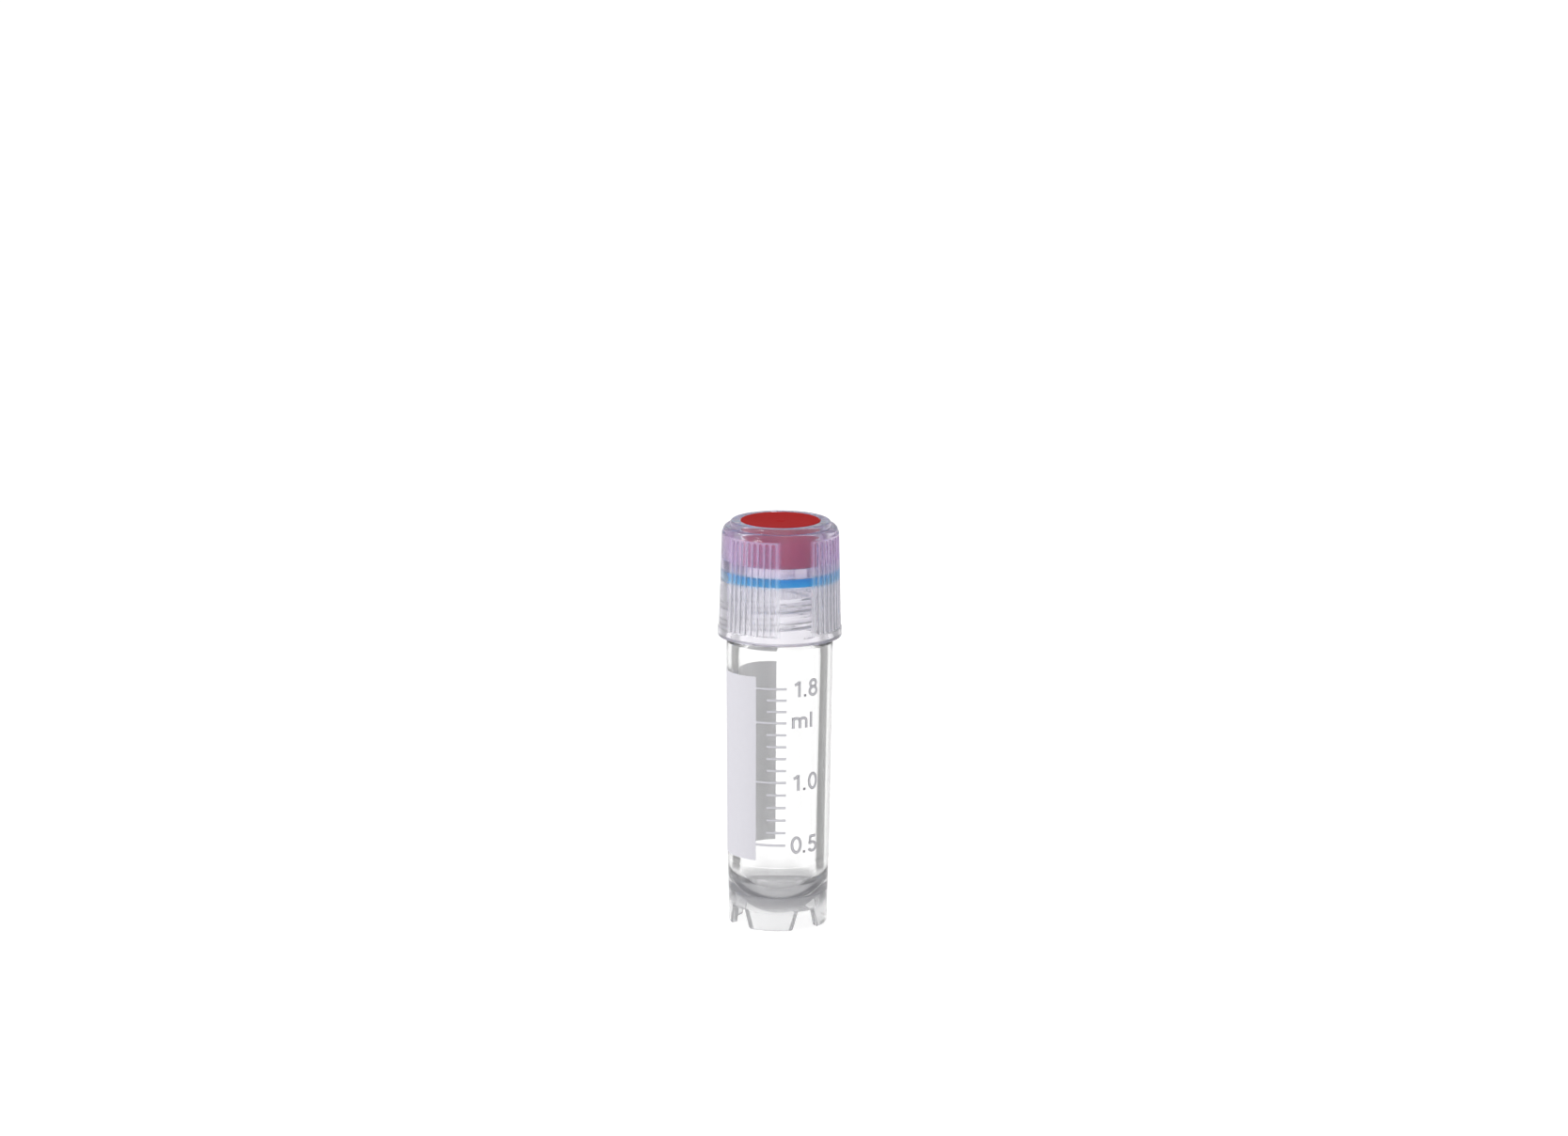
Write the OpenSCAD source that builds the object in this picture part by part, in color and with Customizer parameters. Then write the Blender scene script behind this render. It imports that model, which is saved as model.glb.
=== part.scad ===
// Self-standing screw-cap cryovial of the 2 ml class, closed.
// The axis is Z, the feet stand on z = 0, and the front, where the scale is read, faces -Y.

/* [Tube] */
// Height of the tube's mouth above the table
tube_height = 41.5; // [34:0.1:56]
// Outer diameter of the barrel just under the shoulder
barrel_d = 12.54; // [10:0.02:16]
// How much narrower the barrel is at its lower end, where the skirt starts
barrel_taper = 0.56; // [0.2:0.02:1]
// Length of the neck, from the shoulder to the mouth
neck_length = 7.15; // [5.5:0.05:9]
// Chamfer of the shoulder's corner
shoulder_chamfer = 0.35; // [0.1:0.05:0.5]
// Width of the shoulder, from the barrel's outside in to the root of the neck's thread
shoulder_w = 0.62; // [0.45:0.01:1]
// Wall of the neck at the mouth, under its thread
mouth_wall = 0.61; // [0.4:0.01:1]
// Wall of the barrel at its lower end, where the inside runs into the floor
low_wall = 1.57; // [1:0.01:2.2]
// Thickness of the floor at the axis
floor_t = 1.7; // [0.7:0.05:2.5]
// How much larger the radius of the bowl inside the floor is than the inner wall's
bowl_extra = 0.18; // [0.1:0.02:2]
// Distance from the axis to the centre of the fillet between the bowl and the inner wall
fillet_centre = 0.92; // [0.4:0.02:2]
// Round on the mouth's inner and outer edge
mouth_round = 0.18; // [0.05:0.01:0.25]

/* [Skirt and feet] */
// Height of the skirt, up to the line where the barrel starts
skirt_height = 7.7; // [6:0.1:10]
// Step from the barrel in to the skirt, at the line where the barrel starts
skirt_step = 0.05; // [0.02:0.01:0.2]
// How much narrower the feet are at the table than the skirt is at its top
skirt_taper = 0.3; // [0.1:0.02:0.8]
// Wall of the skirt and feet
skirt_wall = 0.85; // [0.7:0.05:1.4]
// Height of the rounded floor's lowest point above the table
dome_height = 1.1; // [0.6:0.05:1.6]
// Rise of the rounded floor's underside, from its lowest point to the skirt
dome_rise = 2.8; // [1:0.05:3.5]
// Number of feet
foot_count = 4; // [3:1:6]
// Angle of the first foot from the front, turning towards +X
foot_turn = -9; // [-45:1:45]
// Height of the gaps between the feet
gap_height = 2.2; // [1.5:0.1:3]
// Width of each gap at its top
gap_top_w = 2.3; // [1.5:0.1:3]
// Width of each gap at the table
gap_low_w = 3.5; // [2:0.1:4]
// Round on the feet's lower corners
foot_round = 0.25; // [0.1:0.05:0.4]

/* [Thread] */
// Pitch of the single-start thread
pitch = 2.07; // [1.8:0.01:2.4]
// Height of the thread's ridge above its root
thread_depth = 0.46; // [0.3:0.02:0.5]
// Width of a ridge at its crest
crest_w = 0.34; // [0.2:0.02:0.5]
// Width of a ridge at its root
root_w = 0.86; // [0.6:0.02:0.9]
// Height above the shoulder at which the neck's thread starts
neck_thread_rise = 1.15; // [0.9:0.05:1.6]
// Height above the cap's lower edge at which the cap's thread starts
cap_thread_rise = 1.55; // [1.2:0.05:2]
// Distance from the mouth down to the upper end of the neck's thread
neck_thread_stop = 1.03; // [0.6:0.01:2]
// Distance from the mouth down to the upper end of the cap's thread
cap_thread_stop = 1.37; // [0.6:0.01:3]
// Angle of the neck thread's start from the front, turning towards +X
thread_turn = 20; // [-180:5:180]
// Play between the flanks of the two threads when the cap is tight
thread_play = 0.14; // [0.1:0.01:0.2]
// Play between each thread's crest and the other's root
crest_play = 0.2; // [0.15:0.01:0.25]

/* [Cap] */
// Overall height of the cap
cap_height = 13.75; // [12:0.05:17]
// Gap between the shoulder and the cap's lower edge when the cap is tight
cap_gap = 0.3; // [0.2:0.05:0.6]
// Wall of the cap outside its thread, at the lower end of the ribs
cap_wall = 0.88; // [0.7:0.01:1.4]
// How much narrower the cap is at the upper end of the ribs
cap_taper = 0.6; // [0.1:0.02:0.7]
// Step from the ribs out to the smooth band under them
band_step = 0.1; // [0.04:0.01:0.2]
// Height of the smooth band under the ribs
band_height = 1.2; // [0.8:0.05:1.6]
// Step from the ribs in to the shoulder over them
cap_shoulder_step = 0.14; // [0.05:0.01:0.3]
// Height of the shoulder over the ribs, under the rim
cap_shoulder_height = 0.75; // [0.6:0.05:1.2]
// Round on the shoulder's edge
cap_shoulder_round = 0.5; // [0.2:0.05:0.6]
// Step from the shoulder's outside in to the raised rim
rim_step = 0.81; // [0.6:0.01:1.2]
// Wall of the raised rim, out from the insert's recess
rim_wall = 1.2; // [0.8:0.02:1.6]
// Height of the raised rim
rim_height = 0.6; // [0.3:0.05:1]
// Round on the rim's outer edge
rim_round = 0.32; // [0.1:0.02:0.5]
// Thickness of the web between the gasket and the insert
web_t = 0.95; // [0.7:0.05:1.5]
// Round on the band's lower edge
band_round = 0.15; // [0.05:0.01:0.3]
// Lead-in at the lower edge of the cap's bore
lead_in = 0.25; // [0.1:0.01:0.35]

/* [Ribs] */
// Number of groups of ribs, with a smooth window between groups
group_count = 4; // [3:1:5]
// Ribs in each group
ribs_per_group = 9; // [5:1:9]
// Angle from rib to rib
rib_step = 6.5; // [6:0.1:7]
// Width of each rib
rib_w = 0.26; // [0.2:0.02:0.36]
// Depth of the flutes between ribs
flute_depth = 0.22; // [0.1:0.02:0.3]
// Distance from the flutes' arched tops up to the shoulder
flute_stop = 0.25; // [0.15:0.05:0.6]
// Angle of the first group's middle from the front, turning towards +X
group_turn = -29.4; // [-90:0.1:90]

/* [Gasket] */
// Thickness of the washer
gasket_t = 1.05; // [0.8:0.05:1.6]
// How far the washer reaches in over the bore
gasket_reach = 0.44; // [0.1:0.02:1]
// Step from the cap's thread bore in to the washer's seat
seat_step = 0.14; // [0.05:0.01:0.3]
// Play round the washer in the cap
gasket_play = 0.06; // [0.03:0.01:0.1]

/* [Colour insert] */
// Thickness of the insert's top
insert_top_t = 0.9; // [0.6:0.05:1.4]
// Wall of the insert's skirt
insert_wall = 0.8; // [0.6:0.05:1.2]
// Depth of the shallow dish in the insert's top
dish_depth = 0.12; // [0.04:0.02:0.3]
// Width of the flat edge round the dish
dish_edge = 0.35; // [0.2:0.05:0.8]
// Play round the insert in the cap's recess
insert_play = 0.04; // [0.02:0.01:0.08]
// How far the insert's edge stands proud of the cap's rim
insert_proud = 0.04; // [0:0.02:0.2]
// Round on the insert's upper edge
insert_round = 0.12; // [0.05:0.01:0.2]

/* [Hidden] */
$fn = 96;

// heights of the closed vial, from the table up
neck_base = tube_height - neck_length;
shoulder_height = neck_base - shoulder_chamfer;
cap_base = neck_base + cap_gap;
cap_top = cap_base + cap_height;
web_low = tube_height + gasket_t;
web_top = web_low + web_t;
grip_base = cap_base + band_height;
rim_base = cap_top - rim_height;
grip_top = rim_base - cap_shoulder_height;

// radii of the tube, from the outside in
barrel_r = barrel_d / 2;
barrel_low_r = barrel_r - barrel_taper / 2;
skirt_top_r = barrel_low_r - skirt_step;
foot_r = skirt_top_r - skirt_taper / 2;
cavity_r = foot_r - skirt_wall;
neck_r = barrel_r - shoulder_w;
mouth_r = neck_r - mouth_wall;

// radii of the cap, from the neck's thread out to the ribs and back in to the insert
neck_crest_r = neck_r + thread_depth;
cap_bore_r = neck_crest_r + crest_play;
seat_r = cap_bore_r - seat_step;
gasket_r = seat_r - gasket_play;
grip_low_r = cap_bore_r + cap_wall;
grip_top_r = grip_low_r - cap_taper / 2;
band_r = grip_low_r + band_step;
cap_shoulder_r = grip_top_r - cap_shoulder_step;
rim_r = cap_shoulder_r - rim_step;
recess_r = rim_r - rim_wall;
insert_r = recess_r - insert_play;

// floor of the tube: a bowl over a dome, and a fillet that touches the wall and the bowl
dome_r = (pow(cavity_r, 2) + pow(dome_rise, 2)) / (2 * dome_rise);
bore_low_r = barrel_low_r - low_wall;
inner_bowl_r = bore_low_r + bowl_extra;
bowl_z = dome_height + floor_t + inner_bowl_r;
inner_fillet = bore_low_r - fillet_centre;
fillet_z = bowl_z - sqrt(pow(inner_bowl_r - inner_fillet, 2) - pow(fillet_centre, 2));

// the cap's ridge lies under the neck's, with the play between their flanks
flank_w = root_w - (root_w - crest_w) * crest_play / thread_depth;
ridge_drop = (crest_w + flank_w) / 2 + thread_play;
neck_thread_z = neck_base + neck_thread_rise;
cap_thread_z = cap_base + cap_thread_rise;
cap_thread_turn = thread_turn + 360 * (cap_thread_z + ridge_drop - neck_thread_z) / pitch;

// point on a circle round (x, z), for outlines that are turned into solids
function arc(x, z, r, from, to, steps = 8) =
    [for (i = [0:steps]) let (a = from + (to - from) * i / steps) [x + r * cos(a), z + r * sin(a)]];

// One ridge of thread: a trapezoid carried up a helix, its height fading out at both ends.
// side is 1 for a ridge that stands out from a wall at wall_r, and -1 for one that stands inwards.
module ridge(wall_r, side, z_from, z_to, turn) {
    per_turn = 36;
    sunk = 0.12;
    fade = 4;
    last = round((z_to - z_from) / pitch * per_turn);
    function rise(i) = min(1, i / fade, (last - i) / fade);
    function ring(i) =
        let (
            a = turn - 90 + 360 * i / per_turn,
            z = z_from + pitch * i / per_turn,
            deep = wall_r - side * sunk,
            crest = wall_r + side * (rise(i) * (thread_depth + sunk / 2) - sunk / 2)
        )
        [for (p = [
            [deep, z - root_w / 2], [crest, z - crest_w / 2],
            [crest, z + crest_w / 2], [deep, z + root_w / 2]
        ]) [p[0] * cos(a), p[0] * sin(a), p[1]]];
    points = [for (i = [0:last]) each ring(i)];
    // corners of one side face run between a ring and the next, outwards for either side
    function quad(i, k) =
        let (a = 4 * i + k, b = 4 * i + (k + 1) % 4)
        side > 0 ? [[a, b, b + 4], [a, b + 4, a + 4]] : [[a, b + 4, b], [a, a + 4, b + 4]];
    ends = side > 0 ? [[0, 3, 2, 1], [4 * last, 4 * last + 1, 4 * last + 2, 4 * last + 3]]
                    : [[0, 1, 2, 3], [4 * last, 4 * last + 3, 4 * last + 2, 4 * last + 1]];
    faces = [for (i = [0:last - 1], k = [0:3]) each quad(i, k)];
    polyhedron(points, concat(faces, ends));
}

// Outline of the tube's outside, without its bore or skirt cavity
module tube_outside() {
    polygon(concat(
        [[0, 0]],
        arc(foot_r - foot_round, foot_round, foot_round, -90, 0),
        [
            [skirt_top_r, skirt_height],
            [barrel_low_r, skirt_height + skirt_step],
            [barrel_r, shoulder_height],
            [barrel_r - shoulder_chamfer, neck_base],
            [neck_r, neck_base]
        ],
        arc(neck_r - mouth_round, tube_height - mouth_round, mouth_round, 0, 90),
        [[0, tube_height]]
    ));
}

// Outline of the room inside the tube: bowl, fillet, tapered wall and rounded mouth
module tube_inside() {
    touch_angle = atan2(fillet_z - bowl_z, fillet_centre);
    polygon(concat(
        arc(0, bowl_z, inner_bowl_r, -90, touch_angle, 16),
        arc(fillet_centre, fillet_z, inner_fillet, touch_angle, 0, 12),
        [[mouth_r, tube_height - mouth_round]],
        arc(mouth_r + mouth_round, tube_height - mouth_round, mouth_round, 180, 90),
        [[mouth_r + mouth_round, tube_height + 1], [0, tube_height + 1]]
    ));
}

// Room under the floor, inside the skirt
module skirt_cavity() {
    difference() {
        translate([0, 0, -1]) cylinder(h = skirt_height + 1, r = cavity_r);
        translate([0, 0, dome_height + dome_r]) sphere(r = dome_r);
        translate([0, 0, dome_height + dome_r]) cylinder(h = skirt_height, r = cavity_r + 1);
    }
}

// Gap between two feet, cut through the skirt alone: wider at the table, with the feet's corners rounded
module foot_gap() {
    low = gap_low_w / 2;
    top = gap_top_w / 2;
    lean = atan2(low - top, gap_height);
    side = arc(low + foot_round, foot_round, foot_round, 270, 180 + lean);
    outline = concat([[low + foot_round, -1]], side, [[top, gap_height]]);
    mirrored = [for (i = [len(outline) - 1:-1:0]) [-outline[i][0], outline[i][1]]];
    rotate([90, 0, 0]) translate([0, 0, cavity_r - skirt_wall / 2])
        linear_extrude(height = 2 * skirt_wall) polygon(concat(outline, mirrored));
}

module tube() {
    color("gainsboro", 0.4) {
        difference() {
            rotate_extrude() tube_outside();
            rotate_extrude() tube_inside();
            skirt_cavity();
            for (i = [0:foot_count - 1]) rotate(foot_turn + 360 * (i + 0.5) / foot_count) foot_gap();
        }
        ridge(neck_r, 1, neck_thread_z, tube_height - neck_thread_stop, thread_turn);
    }
}

// Outline of the cap's outside
module cap_outside() {
    polygon(concat(
        [[0, cap_base]],
        arc(band_r - band_round, cap_base + band_round, band_round, -90, 0),
        [
            [band_r, grip_base - band_step],
            [grip_low_r, grip_base],
            [grip_top_r, grip_top],
            [cap_shoulder_r, grip_top + cap_shoulder_step]
        ],
        arc(cap_shoulder_r - cap_shoulder_round, rim_base - cap_shoulder_round, cap_shoulder_round, 0, 90),
        [[rim_r, rim_base]],
        arc(rim_r - rim_round, cap_top - rim_round, rim_round, 0, 90),
        [[0, cap_top]]
    ));
}

// Outline of the room under the cap's web: lead-in, thread bore and the washer's seat
module cap_inside() {
    polygon([
        [0, cap_base - 1], [cap_bore_r + lead_in + 1, cap_base - 1],
        [cap_bore_r, cap_base + lead_in], [cap_bore_r, tube_height - lead_in],
        [seat_r, tube_height], [seat_r, web_low], [0, web_low]
    ]);
}

// One flute's slot with its arched top, seen from the front, from the recess wall outwards
module flute() {
    w = grip_top_r * rib_step * PI / 180 - rib_w;
    arch_z = grip_top - flute_stop - w / 2;
    low_z = grip_base - band_step / 2;
    start_r = grip_top_r - 2 * flute_depth;
    rotate([90, 0, 0]) translate([0, 0, start_r]) linear_extrude(height = 2)
        polygon(concat([[-w / 2, low_z], [w / 2, low_z]], arc(0, arch_z, w / 2, 0, 180, 6)));
}

// Ring of everything further out than the bottom of the flutes
module outside_flutes() {
    low_r = grip_low_r - flute_depth;
    top_r = grip_top_r - flute_depth;
    rotate_extrude() polygon([
        [low_r + (low_r - top_r) / (grip_top - grip_base), grip_base - 1],
        [low_r + 1, grip_base - 1],
        [low_r + 1, grip_top],
        [top_r, grip_top]
    ]);
}

module cap() {
    color("thistle", 0.6) {
        difference() {
            rotate_extrude() cap_outside();
            rotate_extrude() cap_inside();
            translate([0, 0, web_top]) cylinder(h = cap_height, r = recess_r);
            intersection() {
                outside_flutes();
                for (g = [0:group_count - 1], i = [0:ribs_per_group - 2])
                    rotate(group_turn + 360 * g / group_count + rib_step * (i - (ribs_per_group - 2) / 2))
                        flute();
            }
        }
        ridge(cap_bore_r, -1, cap_thread_z, tube_height - cap_thread_stop, cap_thread_turn);
    }
}

module gasket() {
    color("dodgerblue") translate([0, 0, tube_height]) difference() {
        cylinder(h = gasket_t, r = gasket_r);
        translate([0, 0, -1]) cylinder(h = gasket_t + 2, r = mouth_r - gasket_reach);
    }
}

module cap_insert() {
    top_z = cap_top + insert_proud;
    // the dish is a shallow piece of a large ball
    dish_w = insert_r - dish_edge;
    dish_ball_r = (pow(dish_w, 2) + pow(dish_depth, 2)) / (2 * dish_depth);
    color("firebrick") difference() {
        rotate_extrude() polygon(concat(
            [[0, web_top], [insert_r, web_top]],
            arc(insert_r - insert_round, top_z - insert_round, insert_round, 0, 90, 4),
            [[0, top_z]]
        ));
        translate([0, 0, web_top - 1])
            cylinder(h = top_z - insert_top_t - web_top + 1, r = insert_r - insert_wall);
        translate([0, 0, top_z - dish_depth + dish_ball_r]) sphere(r = dish_ball_r, $fn = 360);
    }
}

tube();
cap();
gasket();
cap_insert();
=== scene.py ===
import math
from functools import partial

import bpy
import numpy as np
from mathutils import Matrix, Vector


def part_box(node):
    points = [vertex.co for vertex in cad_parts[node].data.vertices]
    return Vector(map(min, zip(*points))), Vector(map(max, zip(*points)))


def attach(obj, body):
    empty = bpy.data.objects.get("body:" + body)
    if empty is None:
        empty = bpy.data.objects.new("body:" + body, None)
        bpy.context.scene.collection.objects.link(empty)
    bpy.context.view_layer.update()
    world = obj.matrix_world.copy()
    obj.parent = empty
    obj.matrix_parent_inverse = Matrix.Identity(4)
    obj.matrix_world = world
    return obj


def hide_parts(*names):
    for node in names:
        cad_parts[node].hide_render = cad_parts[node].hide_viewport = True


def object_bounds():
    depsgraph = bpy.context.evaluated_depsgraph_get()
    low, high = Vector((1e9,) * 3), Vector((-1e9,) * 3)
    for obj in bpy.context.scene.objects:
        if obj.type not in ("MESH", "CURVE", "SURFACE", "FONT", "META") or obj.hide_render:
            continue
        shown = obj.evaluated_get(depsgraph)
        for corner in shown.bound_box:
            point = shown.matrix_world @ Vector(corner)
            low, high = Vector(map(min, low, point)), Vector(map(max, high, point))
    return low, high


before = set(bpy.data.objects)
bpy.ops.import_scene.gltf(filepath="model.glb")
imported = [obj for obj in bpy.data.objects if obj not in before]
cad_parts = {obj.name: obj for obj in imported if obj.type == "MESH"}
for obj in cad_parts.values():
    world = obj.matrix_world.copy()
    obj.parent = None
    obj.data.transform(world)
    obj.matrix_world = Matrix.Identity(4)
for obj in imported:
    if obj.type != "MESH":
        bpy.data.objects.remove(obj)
cadLow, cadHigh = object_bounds()
mm = 0.001

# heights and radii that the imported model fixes, in mm
_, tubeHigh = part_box("tube")
capLow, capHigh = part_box("cap")
washerLow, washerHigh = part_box("gasket")
insertLow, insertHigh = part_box("cap_insert")
mouth = tubeHigh.z / mm
barrelTopRadius = tubeHigh.x / mm
capBase = capLow.z / mm
capTop = capHigh.z / mm
webLow = washerHigh.z / mm
webTop = insertLow.z / mm
print("frame loaded")


# the camera, in front of the vial and a little above it
view = {
    "distance": 0.900,     # metres from the vial's middle
    "elevation": 13.0,     # degrees above the table
    "lens": 175.0,
    "sensor": 36.0,
    "reach": (0.05, 50.0),  # metres, nearest and farthest seen
    "aimUp": 1.147,        # degrees that the camera points over the vial's middle
    "aimRight": 0.029,
    "roll": 0.41,
}


def cameraTurn(pitch, yaw, roll):
    # roll about the line of sight first, then pitch up from straight down, then yaw about Z
    return (Matrix.Rotation(yaw, 3, "Z") @ Matrix.Rotation(pitch, 3, "X")
            @ Matrix.Rotation(roll, 3, "Z"))


def addCamera():
    middle = 0.5 * (cadLow.z + cadHigh.z)
    tilt = math.radians(view["elevation"])
    away, up = view["distance"] * math.cos(tilt), view["distance"] * math.sin(tilt)
    camera = bpy.data.objects.new("vialCamera", bpy.data.cameras.new("vialCamera"))
    camera.data.lens = view["lens"]
    camera.data.sensor_width = view["sensor"]
    camera.data.clip_start, camera.data.clip_end = view["reach"]
    camera.location = (0.0, -away, middle + up)
    pitch = math.radians(90.0 - view["elevation"] + view["aimUp"])
    turn = cameraTurn(pitch, -math.radians(view["aimRight"]), math.radians(view["roll"]))
    camera.rotation_euler = turn.to_euler()
    bpy.context.scene.collection.objects.link(camera)
    bpy.context.scene.camera = camera


addCamera()


# outlines are arrays of (radius, height) points in mm, until placeRing puts them into the frame
def arcLine(centreR, centreZ, radius, fromDeg, toDeg, steps):
    # points on a circle: the centre plus the radius times the cosine and sine of each angle
    a = np.radians(np.linspace(fromDeg, toDeg, steps))
    return np.stack([centreR + radius * np.cos(a), centreZ + radius * np.sin(a)], 1)


def straight(fromPoint, toPoint, steps):
    # points spread evenly from one point to the other, both ends kept
    t = np.linspace(0.0, 1.0, steps)[:, None]
    return np.array(fromPoint) * (1 - t) + np.array(toPoint) * t


def smoothStep(t):
    # 3 t squared less 2 t cubed, with t held between 0 and 1
    t = np.clip(t, 0.0, 1.0)
    return t * t * (3 - 2 * t)


def stackRows(blocks, columns):
    # joins blocks into one grid of radii and one of heights: a block is an outline, the same in
    # every column, or a pair of grids of its own
    ones = np.ones(columns)
    grids = [block if isinstance(block, tuple) else (block[:, :1] * ones, block[:, 1:] * ones)
             for block in blocks]
    return [np.concatenate(grid) for grid in zip(*grids)]


def placeRing(r, z, azimuth):
    # radius, height and the angle from the front (-Y), turning towards +X, as metres in the frame
    r, z, azimuth = np.broadcast_arrays(r, z, azimuth)
    a = np.radians(azimuth)
    return np.stack([r * np.sin(a), -r * np.cos(a), z], -1) * mm


def turnedSkin(r, z, azimuth, closedEnds=True):
    # rows x columns of points joined round the axis; with closed ends the first and last rows are
    # single points, and otherwise the last row joins the first one, as in a ring
    grid = placeRing(r, z, azimuth)
    rows, cols = grid.shape[:2]
    c = np.arange(cols)
    n = np.roll(c, -1)
    if closedEnds:
        points = np.concatenate([grid[0, :1], grid[1:-1].reshape(-1, 3), grid[-1, :1]])
        start = 1 + np.arange(rows - 3)[:, None] * cols
        after = start + cols
        quads = np.stack([start + c, start + n, after + n, after + c], -1).reshape(-1, 4)
        top, lastRow = len(points) - 1, 1 + (rows - 3) * cols
        firstFan = np.stack([np.zeros_like(c), 1 + n, 1 + c], -1)
        lastFan = np.stack([lastRow + c, lastRow + n, np.full_like(c, top)], -1)
        return points, quads, np.concatenate([firstFan, lastFan])
    points = grid.reshape(-1, 3)
    start = np.arange(rows)[:, None] * cols
    after = np.roll(start, -1, 0)
    quads = np.stack([start + c, start + n, after + n, after + c], -1).reshape(-1, 4)
    return points, quads, np.zeros((0, 3), int)


def signedVolume(points, quads, fans):
    # six times the volume inside the skin, summed over its triangles: below zero if inside out
    triangles = np.concatenate([quads[:, [0, 1, 2]], quads[:, [0, 2, 3]], fans])
    a, b, c = (points[triangles[:, k]] for k in range(3))
    return float(np.einsum("ij,ij->i", a, np.cross(b, c)).sum())


sharpAngle = 50.0      # degrees between two faces from which their edge stays sharp


def addPiece(name, skin, body, material, node=None, mark=None):
    # makes the mesh, rides it on its body and, where it stands for a CAD node, replaces that;
    # mark is (name, value at each point), which the material reads as an attribute
    points, quads, fans = skin
    if signedVolume(points, quads, fans) < 0:
        quads, fans = quads[:, ::-1], fans[:, ::-1]
    mesh = bpy.data.meshes.new(name)
    corners = np.concatenate([quads.ravel(), fans.ravel()])
    starts = np.concatenate([np.arange(len(quads)) * 4,
                             len(quads) * 4 + np.arange(len(fans)) * 3])
    mesh.vertices.add(len(points))
    mesh.vertices.foreach_set("co", points.astype(np.float32).ravel())
    mesh.loops.add(len(corners))
    mesh.loops.foreach_set("vertex_index", corners.astype(np.int32))
    mesh.polygons.add(len(starts))
    mesh.polygons.foreach_set("loop_start", starts.astype(np.int32))
    mesh.update(calc_edges=True)
    mesh.validate()
    mesh.shade_smooth()
    if mark:
        attribute = mesh.attributes.new(mark[0], "FLOAT", "POINT")
        attribute.data.foreach_set("value", mark[1].astype(np.float32))
    mesh.set_sharp_from_angle(angle=math.radians(sharpAngle))
    piece = bpy.data.objects.new(name, mesh)
    bpy.context.scene.collection.objects.link(piece)
    mesh.materials.append(material)
    if node:
        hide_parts(node)
    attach(piece, body)
    print(f"{name}: {2 * len(quads) + len(fans)} triangles")


# materials: clear plastic with some milk in it, solid plastic and ink
plastic = {
    "ior": 1.49,
    "milkRoughness": 0.25,
    "flowScale": 260.0,      # faint flow waves, drawn out upwards
    "flowStretch": 0.25,
    "flowDepth": 0.00005,
    "driftShare": 0.1,       # scale of the drift between two shades, beside the grain's
    "grainDepth": 0.00003,
}


def newMaterial(name):
    material = bpy.data.materials.new(name)
    material.use_nodes = True
    return material, material.node_tree.nodes, material.node_tree.links


def mathNode(nodes, links, operation, first, second):
    node = nodes.new("ShaderNodeMath")
    node.operation = operation
    for k, value in enumerate((first, second)):
        if isinstance(value, (int, float)):
            node.inputs[k].default_value = value
        else:
            links.new(value, node.inputs[k])
    return node.outputs[0]


def colourMix(nodes, links, share, first, second):
    # the first colour turning into the second by the share; a colour is plain or a socket
    mix = nodes.new("ShaderNodeMix")
    mix.data_type = "RGBA"
    links.new(share, mix.inputs["Factor"])
    for name, colour in (("A", first), ("B", second)):
        if isinstance(colour, tuple):
            mix.inputs[name].default_value = (*colour, 1.0)
        else:
            links.new(colour, mix.inputs[name])
    return mix.outputs["Result"]


def attributeValue(nodes, name):
    node = nodes.new("ShaderNodeAttribute")
    node.attribute_name = name
    return node.outputs["Fac"]


def rampByHeight(nodes, links, height, stops):
    # colours that change with the height over the table: stops are (millimetres, red, green,
    # blue, share)
    low, high = stops[0][0], stops[-1][0]
    along = nodes.new("ShaderNodeMapRange")
    along.inputs["From Min"].default_value = low * mm
    along.inputs["From Max"].default_value = high * mm
    shades = nodes.new("ShaderNodeValToRGB")
    points = shades.color_ramp.elements
    for k, (up, *shade) in enumerate(stops):
        point = points[k] if k < 2 else points.new(1.0)
        point.position = (up - low) / (high - low)
        point.color = shade
    links.new(height, along.inputs["Value"])
    links.new(along.outputs[0], shades.inputs["Fac"])
    return shades.outputs["Color"], shades.outputs["Alpha"]


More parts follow.
